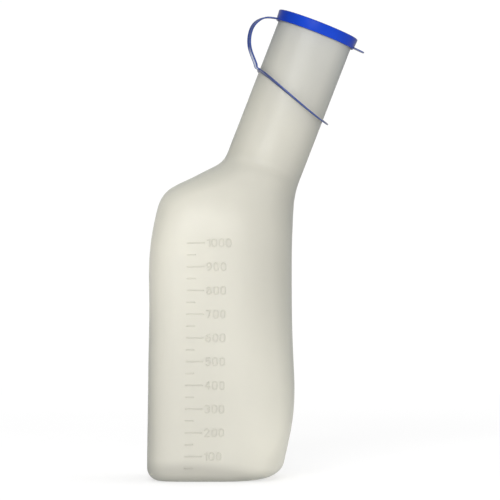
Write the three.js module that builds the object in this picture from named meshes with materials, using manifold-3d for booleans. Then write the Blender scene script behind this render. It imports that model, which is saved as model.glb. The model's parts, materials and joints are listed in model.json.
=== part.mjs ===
// A one-litre urine bottle: a blow-moulded bottle with a bent neck and a raised volume scale, closed by a
// press-on lid that hangs on a strap from a loose ring round the neck.
// Millimetres, +Z up. The origin is at the centre of the base, on the plane that the bottle stands on.
// The scale is on the -Y side, and the neck leans towards +X.

import * as THREE from "three";
import { mergeVertices } from "three/addons/utils/BufferGeometryUtils.js";
import Module from "manifold-3d";

const wasm = await Module();
wasm.setup();

// ---------------------------------------------------------------- driving dimensions
const SIDES = 40; // flat facets round the bottle, the neck and the lid
const WALL = 1.3; // blown wall
const HALF_DEPTH = 43.4; // of the body, along Y
const LEFT_FOOT = -45.2; // where the flat lying side meets the standing plane
const LEFT_LEAN = 0.014; // how far the lying side leans in for each millimetre of height

const NECK_TILT = THREE.MathUtils.degToRad(21.2);
const NECK_R = 23.9;
const NECK_LENGTH = 94; // from the mouth down to the shoulder, along the neck
const MOUTH = { x: 61, z: 281.4 };
const LIP_ROUND = 1; // outer edge of the mouth

// How far the corners round in from the walls, and how high up.
const FOOT = { left: 7.2, leftHeight: 8.2, depth: 11, right: 22, rightHeight: 12 };
const RIGHT_CORNER = { square: 2.4, turn: THREE.MathUtils.degToRad(84) }; // it ends short of upright

const SCALE = { first: 16.1, pitch: 14.48, steps: 10, leftAtTop: -19.4, long: 10.4, short: 5 };
const RELIEF = 0.4; // how far the scale stands proud
const STROKE = 0.7; // width of a raised line
const DIGIT = { width: 3.4, height: 5.2, pitch: 4.38, pitchOfOne: 2.9, gap: 1.3 };

const LID = { low: 25.7, top: 26.25, inner: 24.85, drop: 5.5, rise: 1.4, dome: 0.3, plate: 1.2, round: 0.7 };
const TAB = { length: 7.3, width: 9, thick: 0.7, height: 0.75, droop: THREE.MathUtils.degToRad(3.8) };

const RING = { width: 2.6, thick: 0.9, shift: 0.65 };
const RING_SET = { height: -47, slope: -0.277, tip: 0.03, warp: 0.55, lift: 1.5 }; // how it hangs on the neck
const RING_RADIUS = { across: 26.2, deep: 26.8 };
const RING_TWIST = THREE.MathUtils.degToRad(46); // how far the ring's outer edge is pulled up at the strap
const STRAP = { width: 3.6, thick: 0.9 };
const JOINT_GAP = 1.1; // clear length of strap at each bend

const FROSTED = { color: 0xe2dfd2, roughness: 0.55, metalness: 0 };
const BLUE = { color: 0x1c3fbe, roughness: 0.35, metalness: 0 };

// ---------------------------------------------------------------- solids from rings of points
// A closed skin over rings of points that all hold the same number. Both ends are closed by a fan to the ring's
// own middle, or the last ring joins the first when the skin is a loop.
function skin(rings, loop = false) {
  const count = rings[0].length;
  const positions = rings.flat().flatMap((p) => [p.x, p.y, p.z]);
  const faces = [];
  const last = loop ? rings.length : rings.length - 1;
  for (let i = 0; i < last; i++) {
    const here = i * count;
    const next = ((i + 1) % rings.length) * count;
    for (let k = 0; k < count; k++) {
      const k2 = (k + 1) % count;
      faces.push(here + k, here + k2, next + k2, here + k, next + k2, next + k);
    }
  }
  if (!loop) {
    const ends = [rings[0], rings[rings.length - 1]].map(middleOf);
    positions.push(...ends.flatMap((p) => [p.x, p.y, p.z]));
    const firstMiddle = rings.length * count;
    const top = (rings.length - 1) * count;
    for (let k = 0; k < count; k++) {
      const k2 = (k + 1) % count;
      faces.push(firstMiddle, k2, k, firstMiddle + 1, top + k, top + k2);
    }
  }
  const geometry = new THREE.BufferGeometry();
  geometry.setAttribute("position", new THREE.Float32BufferAttribute(positions, 3));
  return geometry.setIndex(faces);
}

function middleOf(points) {
  const sum = points.reduce((total, p) => total.add(p), new THREE.Vector3());
  return sum.divideScalar(points.length);
}

function solidOf(geometry) {
  const bare = geometry.clone();
  for (const name of ["normal", "uv"]) bare.deleteAttribute(name);
  const merged = mergeVertices(bare, 1e-4);
  const mesh = new wasm.Mesh({
    numProp: 3,
    vertProperties: new Float32Array(merged.attributes.position.array),
    triVerts: new Uint32Array(merged.index.array),
  });
  return new wasm.Manifold(mesh);
}

function geometryOf(solid) {
  const mesh = solid.getMesh();
  const geometry = new THREE.BufferGeometry();
  geometry.setAttribute("position", new THREE.BufferAttribute(mesh.vertProperties, 3));
  return geometry.setIndex(new THREE.BufferAttribute(mesh.triVerts, 1));
}

function namedMesh(name, geometry, look) {
  const mesh = new THREE.Mesh(geometry, new THREE.MeshStandardMaterial(look));
  mesh.name = name;
  return mesh;
}

// ---------------------------------------------------------------- bottle
// A cross-section of the bottle is a squarish loop whose plane runs from a left point to a right point, given as
// [x, z]. `square` is the exponent of each half: 2 is round and 5 is nearly a rounded box. `wall` says how much of
// the wall's thickness is taken off inwards and how much upwards to reach the inner surface.
function section(left, right, depth, squareLeft, squareRight, wall = { inwards: 1, upwards: 0 }) {
  return { left, right, depth, squareLeft, squareRight, wall };
}

function loopOf(cut, inner) {
  const inset = inner ? WALL * cut.wall.inwards : 0;
  const lift = inner ? WALL * cut.wall.upwards : 0;
  const left = new THREE.Vector2(...cut.left);
  const right = new THREE.Vector2(...cut.right);
  const middle = left.clone().add(right).multiplyScalar(0.5);
  const along = right.clone().sub(left).normalize();
  const halfWidth = left.distanceTo(right) / 2 - inset;
  const loop = [];
  for (let k = 0; k < SIDES; k++) {
    const angle = ((k + 0.5) / SIDES) * 2 * Math.PI;
    const power = 2 / (Math.cos(angle) > 0 ? cut.squareRight : cut.squareLeft);
    const across = halfWidth * signedPower(Math.cos(angle), power);
    const deep = (cut.depth - inset) * signedPower(Math.sin(angle), power);
    loop.push(new THREE.Vector3(middle.x + along.x * across, deep, middle.y + along.y * across + lift));
  }
  return loop;
}

function signedPower(value, power) {
  return Math.sign(value) * Math.abs(value) ** power;
}

// The right wall bellies out low down, and is squarer there than at the waist.
const RIGHT_WALL = [
  { z: FOOT.rightHeight, right: 40.2, square: 3.2 },
  { z: 24, right: 42.8, square: 4.2 },
  { z: 36.5, right: 45.1, square: 4.0 },
  { z: 54.5, right: 46.3, square: 3.6 },
  { z: 79.5, right: 45.4, square: 3.1 },
  { z: 111, right: 44.65, square: 2.8 },
  { z: 142, right: 44.7, square: 2.7 },
];

const lyingSide = (z) => LEFT_FOOT + LEFT_LEAN * z;

// A point of the neck's outline at a height along the neck, measured from the mouth, on the side given by `radius`.
function neckPoint(radius, height) {
  const sin = Math.sin(NECK_TILT);
  const cos = Math.cos(NECK_TILT);
  return [MOUTH.x + radius * cos + height * sin, MOUTH.z - radius * sin + height * cos];
}

function neckSection(radius, height) {
  return section(neckPoint(-radius, height), neckPoint(radius, height), radius, 2, 2);
}

// The base: a flat foot to stand on, and corners that round up into the walls. The right corner is squarer than an
// arc and stops short of upright, because the right wall leans out where it meets it.
function baseSections() {
  const first = RIGHT_WALL[0];
  const power = 2 / RIGHT_CORNER.square;
  const steps = 5;
  return Array.from({ length: steps }, (_, i) => {
    const turn = ((i / steps) * Math.PI) / 2;
    const rightTurn = (i / steps) * RIGHT_CORNER.turn;
    const share = 1 - Math.sin(turn);
    const rightShare = 1 - (Math.sin(rightTurn) / Math.sin(RIGHT_CORNER.turn)) ** power;
    const rightRise = (1 - Math.cos(rightTurn) ** power) / (1 - Math.cos(RIGHT_CORNER.turn) ** power);
    const left = [lyingSide(FOOT.leftHeight) + FOOT.left * share, FOOT.leftHeight * (1 - Math.cos(turn))];
    const right = [first.right - FOOT.right * rightShare, FOOT.rightHeight * rightRise];
    const wall = { inwards: Math.sin(turn), upwards: Math.cos(turn) };
    return section(left, right, HALF_DEPTH - FOOT.depth * share, 5, first.square, wall);
  });
}

// The upright body, from the base corners to the start of the shoulder.
function bodySections() {
  return RIGHT_WALL.map(({ z, right, square }) =>
    section([lyingSide(z), z], [right, z], HALF_DEPTH, 5, square),
  );
}

// The shoulder: the sections tip over towards the neck while they shrink and grow round.
function shoulderSections() {
  const sloping = { inwards: 1.4, upwards: 0 };
  return [
    section([-41.9, 152.5], [44.85, 148.5], HALF_DEPTH, 4.8, 2.7),
    section([-39.5, 164.5], [45.15, 156], HALF_DEPTH - 0.9, 4.2, 2.6, sloping),
    section([-36.7, 173.4], [45.35, 162], HALF_DEPTH - 2.8, 3.6, 2.5, sloping),
    section([-31.2, 179.9], [45.65, 167], 38, 3.2, 2.4, sloping),
    section([-19.4, 186.1], [46.05, 172], 34.8, 2.8, 2.3, sloping),
    section([-7.3, 192.2], [47, 177.5], 30.6, 2.4, 2.15, sloping),
    section([1.9, 197.8], [48.2, 182], 26.8, 2.15, 2.05, { inwards: 1.2, upwards: 0 }),
    neckSection(NECK_R, -NECK_LENGTH),
  ];
}

// Smooth sections through the given ones, `per` to each stretch between two of them.
function smoothed(cuts, per) {
  const curve = (read) => new THREE.CatmullRomCurve3(cuts.map((c) => new THREE.Vector3(...read(c))));
  const left = curve((c) => [...c.left, c.depth]);
  const right = curve((c) => [...c.right, c.squareRight]);
  const rest = curve((c) => [c.squareLeft, c.wall.inwards, c.wall.upwards]);
  const total = (cuts.length - 1) * per;
  return Array.from({ length: total + 1 }, (_, i) => {
    const [l, r, q] = [left, right, rest].map((c) => c.getPoint(i / total));
    return section([l.x, l.y], [r.x, r.y], l.z, q.x, r.z, { inwards: q.y, upwards: q.z });
  });
}

function lipSections() {
  return [90, 45, 0].map((degrees) => {
    const turn = THREE.MathUtils.degToRad(degrees);
    return neckSection(NECK_R - LIP_ROUND * (1 - Math.sin(turn)), -LIP_ROUND * (1 - Math.cos(turn)));
  });
}

function bottleShell() {
  const sides = [...smoothed([...bodySections(), ...shoulderSections()], 2), ...lipSections()];
  const all = [...baseSections(), ...sides];
  const outer = all.map((cut) => loopOf(cut, false));
  const cavity = all.slice(0, -lipSections().length).map((cut) => loopOf(cut, true));
  const mouth = loopOf(neckSection(NECK_R - WALL, 0), false);
  return solidOf(skin([...outer, mouth, ...cavity.reverse()]));
}

// ---------------------------------------------------------------- raised scale
// A digit is a list of strokes, each a list of [x, y] points in a box that is 1 wide and 1.6 high about its middle.
function arc(x, y, radiusX, radiusY, from, to, steps) {
  return Array.from({ length: steps + 1 }, (_, i) => {
    const angle = THREE.MathUtils.degToRad(from + ((to - from) * i) / steps);
    return [x + radiusX * Math.cos(angle), y + radiusY * Math.sin(angle)];
  });
}

// A zero with nearly straight sides.
const ZERO = arc(0, 0, 1, 1, 180, -180, 12).map((point) => {
  const [x, y] = point.map((v) => Math.sign(v) * Math.abs(v) ** 0.7);
  return [0.5 * x, 0.8 * y];
});
const turnedRound = (strokes) => strokes.map((stroke) => stroke.map(([x, y]) => [-x, -y]));
const SIX = [
  arc(0.42, -0.3, 0.92, 1.1, 98, 180, 3),
  arc(0, -0.32, 0.5, 0.48, 180, -180, 8),
];
const DIGITS = {
  0: [ZERO],
  1: [[[-0.5, 0.5], [0.05, 0.8], [0.05, -0.8]]],
  2: [[...arc(0, 0.35, 0.47, 0.45, 165, -30, 5), [-0.5, -0.8], [0.55, -0.8]]],
  3: [arc(-0.02, 0.4, 0.44, 0.4, 150, -90, 5), arc(-0.02, -0.38, 0.5, 0.42, 90, -150, 5)],
  4: [[[0.22, -0.8], [0.22, 0.75]], [[0.2, 0.8], [-0.5, -0.35], [0.55, -0.35]]],
  5: [[[0.45, 0.8], [-0.35, 0.8], [-0.42, 0.08], ...arc(0, -0.3, 0.5, 0.5, 120, -145, 6)]],
  6: SIX,
  7: [[[-0.5, 0.8], [0.5, 0.8], [-0.1, -0.8]]],
  8: [arc(0, 0.41, 0.4, 0.39, 180, -180, 8), arc(0, -0.38, 0.5, 0.42, 180, -180, 8)],
  9: turnedRound(SIX),
};

// The flat outline of a line of width STROKE drawn through the points. A stroke that ends where it starts becomes
// a ring with a hole.
function strokeShape(points) {
  const path = points.map(([x, y]) => new THREE.Vector2(x, y));
  const closed = path[0].distanceTo(path[path.length - 1]) < 1e-6;
  if (closed) path.pop();
  const side = (sign) => path.map((_, i) => offsetPoint(path, i, closed, (sign * STROKE) / 2));
  if (!closed) return new THREE.Shape([...side(1), ...side(-1).reverse()]);
  const shape = new THREE.Shape(side(1));
  shape.holes.push(new THREE.Path(side(-1).reverse()));
  return shape;
}

// The mitred corner of a line's edge, `reach` to the left of point i.
function offsetPoint(path, i, closed, reach) {
  const count = path.length;
  const before = closed ? path[(i + count - 1) % count] : path[Math.max(i - 1, 0)];
  const after = closed ? path[(i + 1) % count] : path[Math.min(i + 1, count - 1)];
  const into = path[i].clone().sub(before);
  const out = after.clone().sub(path[i]);
  if (into.length() === 0) into.copy(out);
  if (out.length() === 0) out.copy(into);
  const normal = (v) => new THREE.Vector2(-v.y, v.x).normalize();
  const mitre = normal(into).add(normal(out)).normalize();
  const lengthen = Math.min(1 / mitre.dot(normal(into)), 1.6);
  return path[i].clone().addScaledVector(mitre, reach * lengthen);
}

// A shape drawn in X and Z, standing proud of the front of the body.
function raised(shape) {
  const sunk = 0.9; // into the wall, so that the mark is one solid with it
  const geometry = new THREE.ExtrudeGeometry(shape, { depth: RELIEF + sunk, bevelEnabled: false });
  geometry.rotateX(Math.PI / 2);
  geometry.translate(0, sunk - HALF_DEPTH, 0);
  return solidOf(geometry);
}

function numberShapes(text, left, z) {
  const size = new THREE.Vector2(DIGIT.width - STROKE, (DIGIT.height - STROKE) / 1.6);
  let next = left + DIGIT.width / 2;
  return [...text].flatMap((character) => {
    const middle = next;
    next += character === "1" ? DIGIT.pitchOfOne : DIGIT.pitch;
    return DIGITS[character].map((stroke) =>
      strokeShape(stroke.map(([x, y]) => [middle + x * size.x, z + y * size.y])),
    );
  });
}

function scaleMarks() {
  const shapes = [];
  const top = SCALE.first + (SCALE.steps - 1) * SCALE.pitch;
  for (let half = 1; half <= 2 * SCALE.steps; half++) {
    const z = SCALE.first + (half / 2 - 1) * SCALE.pitch;
    const left = SCALE.leftAtTop - (top - z) * LEFT_LEAN;
    const length = half % 2 ? SCALE.short : SCALE.long;
    shapes.push(strokeShape([[left, z], [left + length, z]]));
    if (half % 2 === 0) shapes.push(...numberShapes(String(half * 50), left + SCALE.long + DIGIT.gap, z));
  }
  return wasm.Manifold.union(shapes.map(raised));
}

function bottle() {
  return namedMesh("bottle", geometryOf(bottleShell().add(scaleMarks())), FROSTED);
}

// ---------------------------------------------------------------- lid, in the neck's frame
// The neck's frame has its origin at the centre of the mouth and +Z out along the neck.
function lidProfile() {
  const top = LID.rise;
  const under = top - LID.plate;
  const points = [[0, top + LID.dome], [LID.top * 0.5, top + LID.dome * 0.78]];
  points.push([LID.top - 3, top + 0.2], [LID.top - LID.round, top], [LID.top, top - LID.round]);
  points.push([LID.low, -LID.drop + 0.3], [LID.low - 0.3, -LID.drop], [LID.inner, -LID.drop]);
  points.push([LID.inner, under - 0.4], [LID.inner - 0.4, under], [LID.top * 0.5, under + LID.dome * 0.6]);
  points.push([0, under + LID.dome]);
  return points.map(([r, z]) => new THREE.Vector2(r, z)).reverse();
}

function pullTab() {
  const half = TAB.width / 2;
  const corner = 3;
  const bite = 0.5; // how far the tongue runs into the skirt
  const shape = new THREE.Shape();
  shape.moveTo(-bite, -half);
  shape.lineTo(TAB.length - corner, -half);
  shape.absarc(TAB.length - corner, -half + corner, corner, -Math.PI / 2, 0, false);
  shape.absarc(TAB.length - corner, half - corner, corner, 0, Math.PI / 2, false);
  shape.lineTo(-bite, half);
  const geometry = new THREE.ExtrudeGeometry(shape, {
    depth: TAB.thick,
    bevelEnabled: false,
    curveSegments: 5,
  });
  geometry.rotateY(TAB.droop);
  return geometry.translate(LID.low - 0.25, 0, TAB.height - LID.drop);
}

function lid() {
  const cap = new THREE.LatheGeometry(lidProfile(), SIDES).rotateX(Math.PI / 2);
  return namedMesh("lid", geometryOf(solidOf(cap).add(solidOf(pullTab()))), BLUE);
}

// ---------------------------------------------------------------- bent bands: the ring and the strap
// The four corners of a flat band's cross-section. `flat` points along its width.
function bandCorners(point, tangent, flat, width, thick) {
  const across = flat.clone().addScaledVector(tangent, -flat.dot(tangent)).normalize();
  const up = new THREE.Vector3().crossVectors(tangent, across);
  const corner = (i, j) =>
    point
      .clone()
      .addScaledVector(across, (i * width) / 2)
      .addScaledVector(up, (j * thick) / 2);
  return [corner(-1, -1), corner(1, -1), corner(1, 1), corner(-1, 1)];
}

// 1 at the left of the neck, where the strap pulls on the ring, and 0 at the right.
function pullOfStrap(angle) {
  return ((1 - Math.cos(angle)) / 2) ** 2;
}

// The ring hangs aslant and slightly warped, and the strap lifts its left side.
function ringPoint(angle) {
  const x = RING.shift + RING_RADIUS.across * Math.cos(angle);
  const y = -RING_RADIUS.deep * Math.sin(angle);
  const z = RING_SET.height + RING_SET.slope * x + RING_SET.tip * y + RING_SET.lift * pullOfStrap(angle);
  return new THREE.Vector3(x, y, z - RING_SET.warp * Math.sin(2 * angle));
}

function neckRing() {
  const step = (2 * Math.PI) / SIDES;
  const rings = Array.from({ length: SIDES }, (_, i) => {
    const angle = i * step;
    const tangent = ringPoint(angle + step / 2).sub(ringPoint(angle - step / 2)).normalize();
    const twist = RING_TWIST * pullOfStrap(angle);
    const outwards = new THREE.Vector3(Math.cos(angle), -Math.sin(angle), 0).multiplyScalar(Math.cos(twist));
    outwards.z = Math.sin(twist) + RING_SET.slope * outwards.x;
    return bandCorners(ringPoint(angle), tangent, outwards, RING.width, RING.thick);
  });
  return namedMesh("neck_ring", skin(rings, true), BLUE);
}

// The strap's middle line, from the ring up round its loop to the lid.
const STRAP_LINE = new THREE.CatmullRomCurve3(
  [
    [-23.9, -12.6, -38.5],
    [-25.8, -12.6, -38.4],
    [-27.7, -11.6, -36.3],
    [-32.8, -8.6, -30.5],
    [-36.6, -5.6, -24.0],
    [-38.0, -3.0, -16.4],
    [-36.8, -1.2, -11.3],
    [-34.2, -0.3, -7.9],
    [-30.8, 0, -5.8],
    [-26.2, 0, -4.6],
  ].map((point) => new THREE.Vector3(...point)),
);
// Where the strap bends, as shares of its length.
const BENDS = { ring: 0.055, loop: 0.52, crown: 0.76, lid: 0.975 };

// How far the strap is turned out of the plane of its loop: most at the ring, not at all at the lid.
function strapTurn(share) {
  const most = THREE.MathUtils.degToRad(30);
  return most * (1 - THREE.MathUtils.smoothstep(share, 0.68, 0.9));
}

function strapLink(name, from, to) {
  const gap = JOINT_GAP / 2 / STRAP_LINE.getLength();
  const steps = Math.max(4, Math.round((to - from) * 28));
  const rings = Array.from({ length: steps + 1 }, (_, i) => {
    const share = from + gap + ((to - from - 2 * gap) * i) / steps;
    const turn = strapTurn(share);
    const flat = new THREE.Vector3(-Math.sin(turn), Math.cos(turn), 0);
    const tangent = STRAP_LINE.getTangentAt(share);
    return bandCorners(STRAP_LINE.getPointAt(share), tangent, flat, STRAP.width, STRAP.thick);
  });
  return namedMesh(name, skin(rings), BLUE);
}

// ---------------------------------------------------------------- assembly
const closure = new THREE.Group();
closure.position.set(MOUTH.x, 0, MOUTH.z);
closure.rotation.y = NECK_TILT;
closure.add(
  lid(),
  neckRing(),
  strapLink("strap_lower", BENDS.ring, BENDS.loop),
  strapLink("strap_middle", BENDS.loop, BENDS.crown),
  strapLink("strap_upper", BENDS.crown, BENDS.lid),
);

const urineBottle = new THREE.Group();
urineBottle.add(bottle(), closure);

export default urineBottle;
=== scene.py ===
"""The looks of a one-litre urine bottle: a frosted blow-moulded bottle with a raised volume scale, and a blue
press-on lid on a strap from a loose ring round its bent neck.

Metres, in the CAD model's frame: +Z up, the neck leans towards +X, and the scale is on the -Y side.
"""

import json
import math

import bmesh
import bpy
import numpy as np
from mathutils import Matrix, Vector


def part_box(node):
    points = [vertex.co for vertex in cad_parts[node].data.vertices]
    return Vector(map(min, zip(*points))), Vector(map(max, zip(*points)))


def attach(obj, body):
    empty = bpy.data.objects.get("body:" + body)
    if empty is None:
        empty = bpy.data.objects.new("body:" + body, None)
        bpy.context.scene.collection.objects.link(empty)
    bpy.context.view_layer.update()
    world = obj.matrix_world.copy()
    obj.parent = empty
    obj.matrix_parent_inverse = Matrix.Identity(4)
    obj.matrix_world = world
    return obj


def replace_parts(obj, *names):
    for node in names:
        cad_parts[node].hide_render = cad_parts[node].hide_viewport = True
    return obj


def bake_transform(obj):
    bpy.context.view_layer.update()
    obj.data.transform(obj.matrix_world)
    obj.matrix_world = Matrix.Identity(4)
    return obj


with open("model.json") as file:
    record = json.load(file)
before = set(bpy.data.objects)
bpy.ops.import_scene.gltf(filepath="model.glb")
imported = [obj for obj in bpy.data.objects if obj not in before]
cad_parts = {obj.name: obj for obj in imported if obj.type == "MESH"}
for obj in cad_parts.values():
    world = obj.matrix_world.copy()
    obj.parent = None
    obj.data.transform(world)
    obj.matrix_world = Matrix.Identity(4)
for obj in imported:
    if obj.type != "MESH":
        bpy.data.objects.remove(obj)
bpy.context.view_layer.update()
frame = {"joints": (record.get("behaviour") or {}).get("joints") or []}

MM = 0.001

# ---------------------------------------------------------------- places read from the frame
JOINTS = {joint["name"]: joint for joint in frame["joints"]}
MOUTH = np.array(JOINTS["ring_turn"]["pos_m"])
NECK_AXIS = np.array(JOINTS["ring_turn"]["axis"])
NECK_AXIS = NECK_AXIS / np.linalg.norm(NECK_AXIS)
NECK_ACROSS = np.array([NECK_AXIS[2], 0.0, -NECK_AXIS[0]])
DEEP = np.array([0.0, 1.0, 0.0])

BOTTLE_LOW, BOTTLE_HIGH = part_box("bottle")
HALF_DEPTH = BOTTLE_HIGH.y
SCALE_RELIEF = -BOTTLE_LOW.y - HALF_DEPTH

# ---------------------------------------------------------------- driving dimensions, in millimetres
NECK_R = 23.9
NECK_LENGTH = 94
WALL = 1.3
LIP_ROUND = 1.0
LYING_SIDE = {"foot": -45.2, "lean": 0.014}
FOOT = {"left": 7.2, "left_height": 8.2, "depth": 11, "right": 22}  # how far the corners round in, and up
RIGHT_CORNER = {"square": 2.4, "turn": math.radians(84)}  # it ends short of upright
SEAM = {"proud": 0.16, "width": 0.45}  # the raised line where the two mould halves met


def neck_point(across, along, deep=0.0):
    """A point in the neck's own frame, given in millimetres from the centre of the mouth."""
    return MOUTH + MM * (across * NECK_ACROSS + along * NECK_AXIS + deep * DEEP)


# ---------------------------------------------------------------- mesh helpers
def spline(knots, values, at):
    """A natural cubic spline through values at knots, read at the given places.

    Each value is a row of numbers.
    """
    knots, values, at = (np.asarray(v, float) for v in (knots, values, at))
    n = len(knots)
    h = np.diff(knots)
    slope = np.diff(values, axis=0) / h[:, None]
    system = np.eye(n)
    right = np.zeros_like(values)
    for i in range(1, n - 1):
        system[i, i - 1:i + 2] = h[i - 1], 2 * (h[i - 1] + h[i]), h[i]
        right[i] = 6 * (slope[i] - slope[i - 1])
    bend = np.linalg.solve(system, right)
    i = np.clip(np.searchsorted(knots, at, side="right") - 1, 0, n - 2)
    step = h[i][:, None]
    a = (knots[i + 1] - at)[:, None] / step
    b = 1 - a
    curve = ((a**3 - a) * bend[i] + (b**3 - b) * bend[i + 1]) * step**2 / 6
    return a * values[i] + b * values[i + 1] + curve


def make_piece(name, points, faces, body, material):
    """A smooth mesh object, which rides on a CAD body if one is named."""
    mesh = bpy.data.meshes.new(name)
    mesh.from_pydata([tuple(p) for p in points], [], faces)
    mesh.validate()
    tidy = bmesh.new()
    tidy.from_mesh(mesh)
    bmesh.ops.recalc_face_normals(tidy, faces=tidy.faces)
    tidy.to_mesh(mesh)
    tidy.free()
    mesh.shade_smooth()
    mesh.materials.append(material)
    piece = bpy.data.objects.new(name, mesh)
    bpy.context.scene.collection.objects.link(piece)
    if body:
        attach(piece, body)
    return piece


def skin(rings, loop=False, caps=True):
    """Points and faces of a skin over rings of points that all hold the same number."""
    rings = [np.asarray(ring, float) for ring in rings]
    count = len(rings[0])
    points = list(np.concatenate(rings))
    faces = []
    for i in range(len(rings) if loop else len(rings) - 1):
        here, there = i * count, (i + 1) % len(rings) * count
        for k in range(count):
            k2 = (k + 1) % count
            faces.append((here + k, here + k2, there + k2, there + k))
    if caps and not loop:
        for start, ring in ((0, rings[0]), (len(rings) * count - count, rings[-1])):
            points.append(ring.mean(0))
            faces += [(start + k, start + (k + 1) % count, len(points) - 1) for k in range(count)]
    return points, faces


# ---------------------------------------------------------------- bottle
# A section of the bottle lies in a plane that runs from a left point to a right point, both (x, z).
# Its outline is a squarish loop: exponent 2 is round and 5 is nearly a rounded box.
BODY_SQUARE = 5  # exponent of the left half, all the way up the straight body
BOTTLE_COLUMNS = 128
RIGHT_WALL = [  # height, place of the right wall, exponent of the right half
    (12, 40.2, 3.2),
    (24, 42.8, 4.2),
    (36.5, 45.1, 4.0),
    (54.5, 46.3, 3.6),
    (79.5, 45.4, 3.1),
    (111, 44.65, 2.8),
    (142, 44.7, 2.7),
]
SHOULDER = [  # left point, right point, loss of half depth, exponents of the left and right halves
    ((-41.9, 152.5), (44.85, 148.5), 0, 4.8, 2.7),
    ((-39.5, 164.5), (45.15, 156), 0.9, 4.2, 2.6),
    ((-36.7, 173.4), (45.35, 162), 2.8, 3.6, 2.5),
    ((-31.2, 179.9), (45.65, 167), 5.4, 3.2, 2.4),
    ((-19.4, 186.1), (46.05, 172), 8.6, 2.8, 2.3),
    ((-7.3, 192.2), (47, 177.5), 12.8, 2.4, 2.15),
    ((1.9, 197.8), (48.2, 182), 16.6, 2.15, 2.05),
]


def lying_side(z):
    return LYING_SIDE["foot"] + LYING_SIDE["lean"] * z


def neck_row(radius, along):
    left, right = neck_point(-radius, along) / MM, neck_point(radius, along) / MM
    return [left[0], left[2], right[0], right[2], radius, 2, 2]


def profile_rows():
    """The knots that the body, shoulder and neck are lofted through.

    Each row is left x, z, right x, z, half depth, and the exponents of the left and right halves.
    """
    depth = HALF_DEPTH / MM
    rows = [[lying_side(z), z, right, z, depth, BODY_SQUARE, square] for z, right, square in RIGHT_WALL]
    rows += [[*left, *right, depth - loss, sl, sr] for left, right, loss, sl, sr in SHOULDER]
    rows += [neck_row(NECK_R, -NECK_LENGTH * (1 - share)) for share in (0, 0.06, 0.15, 0.4, 0.7)]
    return rows + [neck_row(NECK_R, -LIP_ROUND)]


def wall_rows(spacing):
    """Rows about `spacing` apart, measured along the middle of the bottle."""
    knots = np.array(profile_rows())
    middles = (knots[:, 0:2] + knots[:, 2:4]) / 2
    along = np.concatenate([[0], np.cumsum(np.linalg.norm(np.diff(middles, axis=0), axis=1))])
    return spline(along, knots, np.linspace(0, along[-1], int(along[-1] / spacing) + 1))


def foot_rows(steps, inner):
    """The flat foot, and the corners that round up from it into the walls.

    The right corner is squarer than an arc, and stops short of upright, because the right wall leans out.
    """
    first = profile_rows()[0]
    power = 2 / RIGHT_CORNER["square"]
    rows = []
    for i in range(steps):
        turn = i / steps * math.pi / 2
        right_turn = i / steps * RIGHT_CORNER["turn"]
        left_share = 1 - math.sin(turn)
        right_share = 1 - (math.sin(right_turn) / math.sin(RIGHT_CORNER["turn"])) ** power
        right_rise = (1 - math.cos(right_turn) ** power) / (1 - math.cos(RIGHT_CORNER["turn"]) ** power)
        left = [lying_side(FOOT["left_height"]) + FOOT["left"] * left_share]
        left.append(FOOT["left_height"] * (1 - math.cos(turn)))
        right = [first[2] - FOOT["right"] * right_share, first[3] * right_rise]
        row = [*left, *right, first[4] - FOOT["depth"] * left_share, first[5], first[6]]
        rows.append(inset_row(row, WALL * math.sin(turn), WALL * math.cos(turn)) if inner else row)
    return rows


def inset_row(row, inwards, upwards):
    """A row moved into the bottle by a wall's thickness."""
    left, right = np.array(row[0:2]), np.array(row[2:4])
    along = (right - left) / np.linalg.norm(right - left)
    lift = np.array([0, upwards])
    left, right = left + along * inwards + lift, right - along * inwards + lift
    return [*left, *right, row[4] - inwards, row[5], row[6]]


def column_angles(columns):
    """Directions round the bottle, with extra ones on both sides of each mould seam."""
    even = [2 * math.pi * k / columns for k in range(columns)]
    near = [math.radians(side * degrees) for degrees in (0.3, 0.7, 1.2) for side in (-1, 1)]
    return sorted(angle % (2 * math.pi) for angle in even + near + [math.pi + a for a in near])


def outline(row, angles, seam=0.0):
    """The points of one section, in metres."""
    left, right = np.array(row[0:2]), np.array(row[2:4])
    middle, along = (left + right) / 2, right - left
    half = np.linalg.norm(along) / 2
    along = along / (2 * half)
    points = []
    for angle in angles:
        c, s = math.cos(angle), math.sin(angle)
        power = row[6] if c > 0 else row[5]
        reach = (abs(c / half) ** power + abs(s / row[4]) ** power) ** (-1 / power)
        reach += seam * math.exp(-((reach * s / SEAM["width"]) ** 2))
        flat = middle + along * reach * c
        points.append(MM * np.array([flat[0], reach * s, flat[1]]))
    return points


def lip_rows():
    rows = []
    for degrees in (60, 30, 0):
        turn = math.radians(degrees)
        rows.append(neck_row(NECK_R - LIP_ROUND * (1 - math.sin(turn)), -LIP_ROUND * (1 - math.cos(turn))))
    rows.append(neck_row(NECK_R - WALL, -0.3))
    return rows


def bottle_shell(material):
    angles = column_angles(BOTTLE_COLUMNS)
    foot = foot_rows(10, inner=False)
    outside = wall_rows(2.0)
    inside = [inset_row(row, WALL, 0) for row in wall_rows(4.0)][:-1]
    rings = [outline(row, angles, SEAM["proud"]) for row in foot + list(outside)]
    rings += [outline(row, angles) for row in lip_rows()]
    rings += [outline(row, angles) for row in inside[::-1] + foot_rows(8, inner=True)[::-1]]
    points, faces = skin(rings)
    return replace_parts(make_piece("bottle_shell", points, faces, "bottle", material), "bottle")


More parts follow.
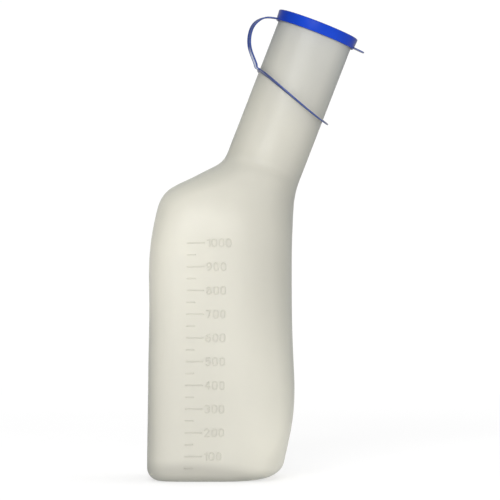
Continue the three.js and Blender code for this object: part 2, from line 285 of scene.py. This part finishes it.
# ---------------------------------------------------------------- raised volume scale
SCALE = {"first": 16.1, "pitch": 14.48, "steps": 10, "left_at_top": -19.4, "long": 10.4, "short": 5.0}
STROKE = 0.66  # width of a raised line
STROKE_SECTION = [  # across, in shares of the width, and proud of the wall, in shares of the relief
    (-0.5, -0.45),
    (-0.46, 0.35),
    (-0.27, 0.88),
    (0, 1),
    (0.27, 0.88),
    (0.46, 0.35),
    (0.5, -0.45),
]
STROKE_STEP = 1.2  # the longest straight step along a line
STROKE_END = {"taper": 0.45, "reach": 0.25}  # the width at a line's end, and how far its round end goes on
DIGIT = {"width": 3.4, "height": 5.2, "pitch": 4.38, "one_pitch": 2.9, "gap": 1.3}


def arc(x, y, radius_x, radius_y, start, end, steps):
    turns = np.radians(np.linspace(start, end, steps + 1))
    return [(x + radius_x * math.cos(t), y + radius_y * math.sin(t)) for t in turns]


def digit_strokes():
    """Each digit is a list of lines of points, in a box 1 wide and 1.6 high about its middle."""
    six = [arc(0.42, -0.3, 0.92, 1.1, 98, 180, 8), arc(0, -0.32, 0.5, 0.48, 180, -180, 20)]
    zero = [(0.5 * abs(x) ** 0.7 * math.copysign(1, x), 0.8 * abs(y) ** 0.7 * math.copysign(1, y))
            for x, y in arc(0, 0, 1, 1, 180, -180, 32)]
    return {
        "0": [zero],
        "1": [[(-0.5, 0.5), (0.05, 0.8), (0.05, -0.8)]],
        "2": [arc(0, 0.35, 0.47, 0.45, 165, -30, 10) + [(-0.5, -0.8), (0.55, -0.8)]],
        "3": [arc(-0.02, 0.4, 0.44, 0.4, 150, -90, 12), arc(-0.02, -0.38, 0.5, 0.42, 90, -150, 12)],
        "4": [[(0.22, -0.8), (0.22, 0.8)], [(0.2, 0.8), (-0.5, -0.35), (0.55, -0.35)]],
        "5": [[(0.45, 0.8), (-0.35, 0.8), (-0.42, 0.08)] + arc(0, -0.3, 0.5, 0.5, 125, -145, 14)],
        "6": six,
        "7": [[(-0.5, 0.8), (0.5, 0.8), (-0.1, -0.8)]],
        "8": [arc(0, 0.41, 0.4, 0.39, 180, -180, 20), arc(0, -0.38, 0.5, 0.42, 180, -180, 20)],
        "9": [[(-x, -y) for x, y in line] for line in six],
    }


class FrontFace:
    """The front of the body, as a depth for each x and height in millimetres."""

    def __init__(self):
        rows = wall_rows(1.0)
        self.rows = rows[rows[:, 1] < 160]

    def depth(self, x, z):
        left, right, deep, square_left, square_right = (
            np.interp(z, self.rows[:, 1], self.rows[:, i]) for i in (0, 2, 4, 5, 6)
        )
        offset = x - (left + right) / 2
        power = square_right if offset > 0 else square_left
        return -deep * (1 - abs(2 * offset / (right - left)) ** power) ** (1 / power)


def stroke_ridge(line, front):
    """A low rounded ridge that follows a line of (x, z) points over the front face."""
    line = [np.array(point, float) for point in line]
    closed = np.linalg.norm(line[0] - line[-1]) < 1e-9
    if closed:
        line.pop()
    else:
        line = with_round_ends(line)
    count = len(line)
    rings = []
    for i, (x, z) in enumerate(line):
        before = line[i - 1] if closed or i else line[i]
        after = line[(i + 1) % count] if closed or i < count - 1 else line[i]
        heading = (after - before) / np.linalg.norm(after - before)
        side = np.array([-heading[1], heading[0]])
        taper = STROKE_END["taper"] if not closed and i in (0, count - 1) else 1.0
        ring = []
        for across, proud in STROKE_SECTION:
            px, pz = np.array([x, z]) + side * across * STROKE * taper
            height = SCALE_RELIEF / MM * (proud if proud < 0 else proud * taper)
            ring.append(MM * np.array([px, front.depth(px, pz) - height, pz]))
        rings.append(ring)
    return skin(rings, loop=closed)


def with_round_ends(line):
    """The line cut into short steps, with its sharp corners kept and its ends a little longer."""
    points = [line[0]]
    for a, b in zip(line, line[1:]):
        steps = max(1, round(np.linalg.norm(b - a) / STROKE_STEP))
        points += [a + (b - a) * (k + 1) / steps for k in range(steps)]
    first = points[0] - points[1]
    last = points[-1] - points[-2]
    head = points[0] + first / np.linalg.norm(first) * STROKE * STROKE_END["reach"]
    tail = points[-1] + last / np.linalg.norm(last) * STROKE * STROKE_END["reach"]
    return [head] + points + [tail]


def scale_lines():
    """Every line of the scale as (x, z) points in millimetres."""
    strokes = digit_strokes()
    width = DIGIT["width"] - STROKE
    height = (DIGIT["height"] - STROKE) / 1.6
    top = SCALE["first"] + (SCALE["steps"] - 1) * SCALE["pitch"]
    lines = []
    for half in range(1, 2 * SCALE["steps"] + 1):
        z = SCALE["first"] + (half / 2 - 1) * SCALE["pitch"]
        left = SCALE["left_at_top"] - (top - z) * LYING_SIDE["lean"]
        lines.append([(left, z), (left + (SCALE["short"] if half % 2 else SCALE["long"]), z)])
        if half % 2:
            continue
        middle = left + SCALE["long"] + DIGIT["gap"] + DIGIT["width"] / 2
        for character in str(half * 50):
            lines += [[(middle + x * width, z + y * height) for x, y in s] for s in strokes[character]]
            middle += DIGIT["one_pitch"] if character == "1" else DIGIT["pitch"]
    return lines


def volume_scale(material):
    front = FrontFace()
    points, faces = [], []
    for line in scale_lines():
        more_points, more_faces = stroke_ridge(line, front)
        faces += [tuple(i + len(points) for i in face) for face in more_faces]
        points += more_points
    piece = make_piece("volume_scale", points, faces, "bottle", material)
    return piece


# ---------------------------------------------------------------- lid
LID = {"low": 25.7, "top": 26.25, "inner": 24.85, "drop": 5.5, "rise": 1.4, "dome": 0.3, "plate": 1.2}
LID_ROUND = 0.8
TAB = {"length": 7.3, "width": 9, "thick": 0.7, "height": 0.75, "droop": math.radians(3.8)}


def lid_outline():
    """Half of the lid's cross-section, from the middle of its top round to the middle of its underside.

    Each point is a radius and a height along the neck.
    """
    top, under = LID["rise"], LID["rise"] - LID["plate"]
    dome_edge = LID["top"] - 2.2
    outline_points = []
    for share in np.linspace(0, 1, 12):
        outline_points.append((dome_edge * share, top + LID["dome"] * math.cos(share * math.pi / 2)))
    for degrees in (75, 50, 25, 0):
        turn = math.radians(degrees)
        out = LID["top"] - LID_ROUND * (1 - math.cos(turn))
        outline_points.append((out, top - LID_ROUND * (1 - math.sin(turn))))
    outline_points += [(LID["low"] + 0.08, -LID["drop"] + 0.7), (LID["low"], -LID["drop"] + 0.25)]
    outline_points += [(LID["low"] - 0.12, -LID["drop"] + 0.06), (LID["low"] - 0.32, -LID["drop"])]
    outline_points += [(LID["inner"] + 0.15, -LID["drop"]), (LID["inner"], -LID["drop"] + 0.15)]
    outline_points += [(LID["inner"], under - 0.5), (LID["inner"] - 0.5, under)]
    outline_points += [(LID["inner"] * share, under + LID["dome"] * math.cos(share * math.pi / 2))
                       for share in (0.8, 0.6, 0.4, 0.2, 0)]
    return outline_points


def lid_cap(material):
    columns = 144
    rings = []
    for radius, along in lid_outline():
        turns = [2 * math.pi * k / columns for k in range(columns)]
        reach = max(radius, 1e-4)
        rings.append([neck_point(reach * math.cos(t), along, reach * math.sin(t)) for t in turns])
    points, faces = skin(rings)
    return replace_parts(make_piece("lid_cap", points, faces, "lid", material), "lid")


def pull_tab(material):
    """A thin tongue with a rounded end and a thicker rim, standing out from the foot of the lid's skirt."""
    half, corner = TAB["width"] / 2, 3.4
    edge = [(-0.9, -half)]
    edge += [(TAB["length"] - corner + corner * math.cos(t), -half + corner + corner * math.sin(t))
             for t in np.radians(np.linspace(-90, 0, 9))]
    edge += [(x, -y) for x, y in edge[::-1]]
    edge = np.array(edge)
    middle = np.array([TAB["length"] / 2, 0])
    rings = []
    for shrink, lift in ((0.86, -0.32), (0.965, -0.5), (1, -0.3), (1, 0.3), (0.965, 0.5), (0.86, 0.32)):
        ring = []
        for x, y in middle + (edge - middle) * shrink:
            out = LID["low"] - 0.2 + x * math.cos(TAB["droop"]) + lift * TAB["thick"] * math.sin(TAB["droop"])
            along = TAB["height"] - LID["drop"] + TAB["thick"] * (0.5 + lift) - x * math.sin(TAB["droop"])
            ring.append(neck_point(out, along, y))
        rings.append(ring)
    points, faces = skin(rings)
    piece = make_piece("lid_pull_tab", points, faces, "lid", material)
    return piece


# ---------------------------------------------------------------- ring and strap
RING = {"width": 2.6, "thick": 0.9, "shift": 0.65, "dish": 0.12}
# how the ring hangs on the neck
RING_SET = {"height": -47, "slope": -0.277, "tip": 0.03, "warp": 0.55, "lift": 1.5}
RING_RADIUS = {"across": 26.2, "deep": 26.8}
RING_TWIST = math.radians(46)
STRAP = {"width": 3.6, "thick": 1.0, "dish": 0.22}
# the strap's turn about its own length near the ring, and where it eases off, in shares of its length
STRAP_TURN = {"angle": math.radians(30), "ease_from": 0.68, "ease_over": 0.22}
STRAP_SIDES = 20  # points round the strap


def band_ring(point, tangent, flat, width, thick, dish):
    """One rounded cross-section of a flat band whose faces are dished along the middle by `dish`."""
    tangent = tangent / np.linalg.norm(tangent)
    across = flat - tangent * flat.dot(tangent)
    across = across / np.linalg.norm(across)
    up = np.cross(tangent, across)
    half_width, half_thick = width / 2, thick / 2
    dished = half_thick - dish
    side = [(1, 0), (0.97, 0.62), (0.86, 1), (0.68, 0.97), (0.45, None), (0, None)]
    quarter = [(x * half_width, dished if y is None else y * half_thick) for x, y in side]
    upper = quarter + [(-x, y) for x, y in quarter[-2::-1]]
    lower = [(x, -y) for x, y in upper[-2:0:-1]]
    return [MM * (point + across * x + up * y) for x, y in upper + lower]


def to_world(point):
    """A point in the neck's frame as one in the part's frame, both in millimetres."""
    return neck_point(point[0], point[2], point[1]) / MM


def pull_of_strap(angle):
    """1 at the left of the neck, where the strap pulls on the ring, and 0 at the right."""
    return ((1 - math.cos(angle)) / 2) ** 2


def ring_point(angle):
    x = RING["shift"] + RING_RADIUS["across"] * math.cos(angle)
    y = -RING_RADIUS["deep"] * math.sin(angle)
    z = RING_SET["height"] + RING_SET["slope"] * x + RING_SET["tip"] * y
    z += RING_SET["lift"] * pull_of_strap(angle) - RING_SET["warp"] * math.sin(2 * angle)
    return np.array([x, y, z])


def neck_band(material):
    columns = 160
    step = 2 * math.pi / columns
    rings = []
    for k in range(columns):
        angle = k * step
        tangent = to_world(ring_point(angle + step)) - to_world(ring_point(angle - step))
        twist = RING_TWIST * pull_of_strap(angle)
        flat = np.array([math.cos(angle), -math.sin(angle), 0]) * math.cos(twist)
        flat[2] = math.sin(twist) + RING_SET["slope"] * flat[0]
        flat = to_world(flat) - to_world(np.zeros(3))
        middle = to_world(ring_point(angle))
        rings.append(band_ring(middle, tangent, flat, RING["width"], RING["thick"], RING["dish"]))
    points, faces = skin(rings, loop=True)
    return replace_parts(make_piece("neck_band", points, faces, "neck_ring", material), "neck_ring")


STRAP_POINTS = [  # the strap's middle line in the neck's frame, from the ring to the lid
    (-23.9, -12.6, -38.5),
    (-25.8, -12.6, -38.4),
    (-27.7, -11.6, -36.3),
    (-32.8, -8.6, -30.5),
    (-36.6, -5.6, -24.0),
    (-38.0, -3.0, -16.4),
    (-36.8, -1.2, -11.3),
    (-34.2, -0.3, -7.9),
    (-30.8, 0, -5.8),
    (-25.2, 0, -4.4),
]
STRAP_JOINTS = [
    JOINTS[name] for name in ("strap_root_bend", "strap_loop_bend", "strap_crown_bend", "lid_open")
]


class StrapLine:
    """The strap's middle line, read by the share of its length from the ring."""

    def __init__(self):
        knots = np.array(STRAP_POINTS, float)
        places = np.concatenate([[0], np.cumsum(np.sqrt(np.linalg.norm(np.diff(knots, axis=0), axis=1)))])
        fine = spline(places, knots, np.linspace(0, places[-1], 400))
        self.points = np.array([to_world(point) for point in fine])
        lengths = np.concatenate([[0], np.cumsum(np.linalg.norm(np.diff(self.points, axis=0), axis=1))])
        self.shares = lengths / lengths[-1]

    def point(self, share):
        return np.array([np.interp(share, self.shares, self.points[:, i]) for i in range(3)])

    def share_nearest(self, place):
        """Where on the line a joint is, seen along Y."""
        gaps = np.linalg.norm((self.points * MM - np.array(place))[:, [0, 2]], axis=1)
        return float(self.shares[np.argmin(gaps)])

    def ring(self, share):
        tangent = self.point(min(share + 0.01, 1)) - self.point(max(share - 0.01, 0))
        relaxed = min(max((share - STRAP_TURN["ease_from"]) / STRAP_TURN["ease_over"], 0), 1)
        turn = STRAP_TURN["angle"] * (1 - relaxed * relaxed * (3 - 2 * relaxed))
        flat = to_world(np.array([-math.sin(turn), math.cos(turn), 0])) - to_world(np.zeros(3))
        return band_ring(self.point(share), tangent, flat, STRAP["width"], STRAP["thick"], STRAP["dish"])


def mark_channel(piece, per_ring):
    """Marks the middle of the band's faces, so that the material can tell it from the rims."""
    marks = piece.data.attributes.new("channel", "FLOAT", "POINT")
    pattern = [1.0 if abs(math.cos(2 * math.pi * k / per_ring)) < 0.5 else 0.0 for k in range(per_ring)]
    marks.data.foreach_set("value", [pattern[i % per_ring] for i in range(len(piece.data.vertices))])


def strap(material):
    """The strap in four lengths, one for each joint, which meet between the joints."""
    line = StrapLine()
    bends = [line.share_nearest(joint["pos_m"]) for joint in STRAP_JOINTS]
    meets = [0.0] + [(a + b) / 2 for a, b in zip(bends, bends[1:])] + [1.0]
    for number, joint in enumerate(STRAP_JOINTS):
        low, high = meets[number], meets[number + 1]
        steps = max(8, round((high - low) * 60))
        points, faces = skin([line.ring(share) for share in np.linspace(low, high, steps + 1)])
        piece = make_piece(f"strap_length_{number + 1}", points, faces, None, material)
        mark_channel(piece, STRAP_SIDES)
        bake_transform(piece)
        if joint["child"] != "lid":
            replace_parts(piece, joint["child"])


# ---------------------------------------------------------------- materials
class Nodes:
    """Shorthand for building one material's node tree."""

    def __init__(self, name):
        self.material = bpy.data.materials.new(name)
        self.material.use_nodes = True
        self.tree = self.material.node_tree
        self.surface = self.tree.nodes["Principled BSDF"]

    def add(self, kind, inputs=None, **settings):
        node = self.tree.nodes.new(kind)
        for key, value in settings.items():
            setattr(node, key, value)
        for key, value in (inputs or {}).items():
            if isinstance(value, bpy.types.NodeSocket):
                self.tree.links.new(value, node.inputs[key])
            else:
                node.inputs[key].default_value = value
        return node

    def set(self, **inputs):
        for key, value in inputs.items():
            socket = self.surface.inputs[key.replace("_", " ")]
            if isinstance(value, bpy.types.NodeSocket):
                self.tree.links.new(value, socket)
            else:
                socket.default_value = value

    def noise(self, scale, detail, stretch=(1, 1, 1)):
        place = self.add("ShaderNodeTexCoord").outputs["Object"]
        mapped = self.add("ShaderNodeMapping", {"Vector": place, "Scale": stretch}).outputs["Vector"]
        wanted = {"Vector": mapped, "Scale": scale, "Detail": detail}
        return self.add("ShaderNodeTexNoise", wanted).outputs["Fac"]

    def ramp(self, factor, stops):
        node = self.add("ShaderNodeValToRGB", {"Fac": factor})
        ramp = node.color_ramp
        while len(ramp.elements) < len(stops):
            ramp.elements.new(1.0)
        for element, (position, colour) in zip(ramp.elements, stops):
            element.position = position
            element.color = (*colour, 1)
        return node.outputs["Color"]

    def spread(self, factor, low, high):
        wanted = {"Value": factor, "From Min": 0.3, "From Max": 0.7, "To Min": low, "To Max": high}
        return self.add("ShaderNodeMapRange", wanted).outputs["Result"]

    def mix(self, share, a, b, blend="MIX"):
        """Colour a where the share is 0 and b where it is 1. Inputs 6 and 7 are the node's colour sockets."""
        node = self.add("ShaderNodeMix", {0: share, 6: a, 7: b}, data_type="RGBA", blend_type=blend)
        return node.outputs[2]

    def multiply(self, a, b):
        return self.mix(1.0, a, b, blend="MULTIPLY")

    def math(self, operation, a, b):
        return self.add("ShaderNodeMath", {0: a, 1: b}, operation=operation).outputs["Value"]

    def edge_on(self):
        """0 where a surface faces the camera and 1 where it is seen edge on."""
        return self.add("ShaderNodeLayerWeight", {"Blend": 0.5}).outputs["Facing"]

    def patch(self, middle, reach, strength, core=0.0):
        """`strength` within the core of a soft ellipsoid given in millimetres, and 1 outside it."""
        place = self.add("ShaderNodeTexCoord").outputs["Object"]
        shrink = tuple(1 / (MM * r) for r in reach)
        shift = tuple(-m / r for m, r in zip(middle, reach))
        local = self.add("ShaderNodeVectorMath", {0: place, 1: shrink, 2: shift}, operation="MULTIPLY_ADD")
        distance = self.add("ShaderNodeVectorMath", {0: local.outputs["Vector"]}, operation="LENGTH")
        wanted = {"Value": distance.outputs["Value"], "From Min": core, "To Min": strength, "To Max": 1.0}
        return self.add("ShaderNodeMapRange", wanted, interpolation_type="SMOOTHSTEP").outputs["Result"]

    def bump(self, height, strength, distance):
        wanted = {"Height": height, "Strength": strength, "Distance": distance}
        return self.add("ShaderNodeBump", wanted).outputs["Normal"]


NO_TINT = (1, 1, 1, 1)
# painted light and shade: middle, reach (mm), and how much lighter the wall is painted where more light
# falls, or darker where less falls
LIGHT_AND_SHADE_PATCHES = [
    ((-28, 0, 150), (46, 90, 90), 1.14),
    ((34, 0, 16), (30, 90, 42), 1.15),
    ((-16, 0, 45), (60, 90, 55), 0.95),
    ((32, 0, 135), (34, 90, 95), 0.81),
    ((58, 0, 268), (54, 90, 94), 0.87),
    ((38, 0, 222), (30, 90, 38), 0.96),
    ((50, 0, 180), (24, 90, 45), 0.8),
    ((68, 0, 212), (28, 90, 56), 0.84),
    ((-46, 0, 26), (16, 90, 48), 0.88),
]
# painted shade over the base: as above, and then the size of the core, which gives it a firmer edge
BASE_SHADE_BAND = ((-18, 0, -3), (64, 110, 19.5), 0.8, 0.66)
LID_GLOW = [  # the lid's blue light on the neck: middle, reach (mm) and tint
    ((60, 0, 272), (48, 80, 70), (0.93, 0.95, 1.0, 1)),
    ((62, 0, 284), (38, 40, 28), (0.9, 0.93, 1.0, 1)),
]
NECK_EDGE_SHADE = ((62, 0, 278), (56, 80, 66))  # where the painted edge shade on the neck is darker still, and bluish from the lid's light
EDGE_SHADE_PATCHES = [  # painted edge shade, lifted where more light falls: middle, reach (mm), and how much of the usual painted darkening of edges is left there
    ((-46, 0, 145), (26, 90, 85), 0.0),
    ((46, 0, 12), (34, 90, 60), 0.0),
]


def frosted_material():
    """Natural polypropylene: milky, see-through to light but not to shapes, with faintly uneven wall
    thickness, and painted light and shade: darker edges, lighter and darker patches, a darker band over the
    base and a bluish tint near the lid.
    """
    nodes = Nodes("frosted_polypropylene")
    thickness = nodes.noise(22, 3, stretch=(1, 1, 0.45))
    colour = nodes.ramp(thickness, [(0.3, (0.84, 0.821, 0.732)), (0.7, (0.865, 0.848, 0.76))])
    edge_on = nodes.edge_on()
    # painted shade: the wall's colour is darkened where it is seen edge on
    painted_edge_shade = nodes.ramp(edge_on, [(0.2, (1, 1, 1)), (0.62, (0.83, 0.84, 0.83)), (0.95, (0.6, 0.62, 0.61))])
    dark_edges = 1.0
    for middle, reach, strength in EDGE_SHADE_PATCHES:
        patch = nodes.patch(middle, reach, strength)
        dark_edges = nodes.math("MULTIPLY", dark_edges, patch)
    painted_edge_shade = nodes.mix(dark_edges, NO_TINT, painted_edge_shade)
    # painted shade on the neck: darker and bluer where it is seen edge on
    on_neck = nodes.ramp(edge_on, [(0.25, (1, 1, 1)), (0.6, (0.74, 0.76, 0.8)), (0.95, (0.3, 0.33, 0.42))])
    off_neck = nodes.patch(*NECK_EDGE_SHADE, 0.0)
    neck_edge_shade = nodes.mix(off_neck, on_neck, NO_TINT)
    seen = nodes.multiply(nodes.multiply(colour, painted_edge_shade), neck_edge_shade)
    for middle, reach, tint in LID_GLOW:
        outside = nodes.patch(middle, reach, 0.0)
        seen = nodes.multiply(seen, nodes.mix(outside, tint, NO_TINT))
    # painted light and shade on the body, and painted shade over the base
    for patch in LIGHT_AND_SHADE_PATCHES + [BASE_SHADE_BAND]:
        seen = nodes.multiply(seen, nodes.patch(*patch))
    grain = nodes.noise(900, 4)
    nodes.set(
        Base_Color=seen,
        Roughness=nodes.spread(grain, 0.42, 0.56),
        IOR=1.49,
        Transmission_Weight=0.45,
        Specular_IOR_Level=0.4,
        Normal=nodes.bump(nodes.noise(1600, 5), 0.12, 0.0002),
    )
    return nodes.material


# painted highlight along the middle of the strap's faces, between its rims: middle, reach (mm), size of the
# core, and colour
PAINTED_CHANNEL_HIGHLIGHT = ((21, 0, 257), (13, 60, 13), 0.4, (0.42, 0.46, 0.58, 1))
DEEP_BLUE = ((0.007, 0.046, 0.44), (0.01, 0.06, 0.56))  # the thick lid
THIN_SHADED_BLUE = ((0.022, 0.052, 0.23), (0.036, 0.074, 0.31))  # ring, strap and tab: darker and greyer, partly the thin plastic's own look and partly painted shade


def blue_material(name, low, high, gloss, painted_channel_highlight=False):
    """Royal blue polyethylene, satin, with the faint mottle of an injection moulding, painted shade where a
    surface is seen edge on, and for the strap a painted highlight along the middle of its faces.
    """
    nodes = Nodes(name)
    mottle = nodes.ramp(nodes.noise(60, 3), [(0.3, low), (0.7, high)])
    edge_on = nodes.edge_on()
    # painted shade: the blue darkens where a surface is seen edge on
    depth = nodes.ramp(edge_on, [(0.1, (1, 1, 1)), (0.45, (0.74, 0.74, 0.76)), (0.9, (0.3, 0.28, 0.28))])
    seen = nodes.multiply(mottle, depth)
    if painted_channel_highlight:
        # painted highlight along the middle of the strap's faces
        middle, reach, core, pale = PAINTED_CHANNEL_HIGHLIGHT
        marked = nodes.add("ShaderNodeAttribute", attribute_name="channel").outputs["Fac"]
        away = nodes.patch(middle, reach, 0.0, core)
        amount = nodes.math("MULTIPLY", marked, nodes.math("SUBTRACT", 1.0, away))
        seen = nodes.mix(amount, seen, pale)
    nodes.set(
        Base_Color=seen,
        Roughness=nodes.spread(nodes.noise(700, 3), 0.3, 0.42),
        IOR=1.5,
        Specular_IOR_Level=gloss,
        Normal=nodes.bump(nodes.noise(1300, 4), 0.08, 0.0002),
    )
    return nodes.material


def floor_material():
    """Pale matt floor with a soft shadow near the object, and plain white light further off."""
    nodes = Nodes("studio_floor")
    tone = nodes.ramp(nodes.noise(3, 1), [(0.3, (0.44, 0.44, 0.44)), (0.7, (0.46, 0.46, 0.46))])
    nodes.set(Base_Color=tone, Roughness=0.9, Specular_IOR_Level=0.0)
    nodes.set(Emission_Color=(1, 1, 1, 1), Emission_Strength=FLOOR["glow"])
    place = nodes.add("ShaderNodeTexCoord").outputs["Object"]
    distance = nodes.add("ShaderNodeVectorMath", {0: place}, operation="LENGTH").outputs["Value"]
    fade = nodes.add(
        "ShaderNodeMapRange",
        {"Value": distance, "From Min": FLOOR["matt"], "From Max": FLOOR["white"]},
        interpolation_type="SMOOTHSTEP",
    ).outputs["Result"]
    white = nodes.add("ShaderNodeEmission", {"Strength": STUDIO_WHITE}).outputs["Emission"]
    near = nodes.surface.outputs["BSDF"]
    both = nodes.add("ShaderNodeMixShader", {0: fade, 1: near, 2: white}).outputs["Shader"]
    nodes.tree.links.new(both, nodes.tree.nodes["Material Output"].inputs["Surface"])
    return nodes.material


# ---------------------------------------------------------------- studio
STUDIO_WHITE = 1.02  # the brightness of the white surroundings
SKY = {("X", -1): 0.0, ("X", 1): 0.92, ("Y", -1): 0.0, ("Y", 1): 1.6, ("Z", 1): 1.32}  # light from each side
SOFTBOXES = {"front_softbox": ((-0.3, -2.2, 0.9), 1.0, 37)}  # place, size, power
FLOOR = {"radius": 8.0, "matt": 0.35, "white": 1.2, "glow": 0.58}
# a level camera: how far away, where its axis passes, and the width of the view at the object
VIEW = {"distance": 1.93, "x": 0.0187, "z": 0.1421, "frame": 0.3119}
LIT_MIDDLE = (0, 0, 0.14)  # what the softbox points at


def floor(material):
    """A round pale floor."""
    rings = []
    for radius in (0.05, 0.2, 0.6, 2.0, FLOOR["radius"]):
        turns = np.radians(np.arange(0, 360, 7.5))
        rings.append([(radius * math.cos(t), radius * math.sin(t), -0.0001) for t in turns])
    points, faces = skin(rings, caps=False)
    faces.append(tuple(range(len(rings[0]))))
    make_piece("studio_floor", points, faces, None, material)


def sky():
    """Soft light whose strength changes with the side it comes from. The camera sees it as plain white."""
    world = bpy.data.worlds.new("studio")
    world.use_nodes = True
    tree = world.node_tree
    axes = tree.nodes.new("ShaderNodeSeparateXYZ")
    tree.links.new(tree.nodes.new("ShaderNodeTexCoord").outputs["Generated"], axes.inputs["Vector"])

    def math_node(operation, *values):
        node = tree.nodes.new("ShaderNodeMath")
        node.operation = operation
        for i, value in enumerate(values):
            if isinstance(value, bpy.types.NodeSocket):
                tree.links.new(value, node.inputs[i])
            else:
                node.inputs[i].default_value = value
        return node.outputs["Value"]

    total = 0
    for (axis, sign), strength in SKY.items():
        facing = math_node("MAXIMUM", math_node("MULTIPLY", axes.outputs[axis], sign), 0)
        total = math_node("MULTIPLY_ADD", math_node("MULTIPLY", facing, facing), strength, total)
    seen = tree.nodes["Background"]
    seen.inputs["Color"].default_value = (1, 1, 1, 1)
    seen.inputs["Strength"].default_value = STUDIO_WHITE
    lit = tree.nodes.new("ShaderNodeBackground")
    tree.links.new(total, lit.inputs["Strength"])
    mix = tree.nodes.new("ShaderNodeMixShader")
    tree.links.new(tree.nodes.new("ShaderNodeLightPath").outputs["Is Camera Ray"], mix.inputs["Fac"])
    tree.links.new(lit.outputs["Background"], mix.inputs[1])
    tree.links.new(seen.outputs["Background"], mix.inputs[2])
    tree.links.new(mix.outputs["Shader"], tree.nodes["World Output"].inputs["Surface"])
    bpy.context.scene.world = world


def softbox(name, place, size, power):
    lamp = bpy.data.lights.new(name, "AREA")
    lamp.shape = "SQUARE"
    lamp.size = size
    lamp.energy = power
    holder = bpy.data.objects.new(name, lamp)
    holder.location = place
    holder.rotation_euler = (Vector(LIT_MIDDLE) - Vector(place)).to_track_quat("-Z", "Y").to_euler()
    bpy.context.scene.collection.objects.link(holder)


def studio():
    sky()
    floor(floor_material())
    for name, (place, size, power) in SOFTBOXES.items():
        softbox(name, place, size, power)


def camera():
    lens = bpy.data.cameras.new("camera")
    lens.lens = lens.sensor_width * VIEW["distance"] / VIEW["frame"]
    lens.clip_end = 20
    holder = bpy.data.objects.new("camera", lens)
    holder.location = (VIEW["x"], -VIEW["distance"], VIEW["z"])
    holder.rotation_euler = (math.pi / 2, 0, 0)
    bpy.context.scene.collection.objects.link(holder)
    bpy.context.scene.camera = holder


# ---------------------------------------------------------------- build
frosted = frosted_material()
blue = blue_material("blue_polyethylene", *DEEP_BLUE, gloss=0.08)
thin_shaded_blue = blue_material("thin_blue_polyethylene", *THIN_SHADED_BLUE, gloss=0.5)
strap_blue = blue_material("strap_blue_polyethylene", *THIN_SHADED_BLUE, gloss=0.5, painted_channel_highlight=True)
bottle_shell(frosted)
volume_scale(frosted)
lid_cap(blue)
pull_tab(thin_shaded_blue)
neck_band(thin_shaded_blue)
strap(strap_blue)
bpy.context.scene.view_settings.view_transform = "Standard"
studio()
camera()
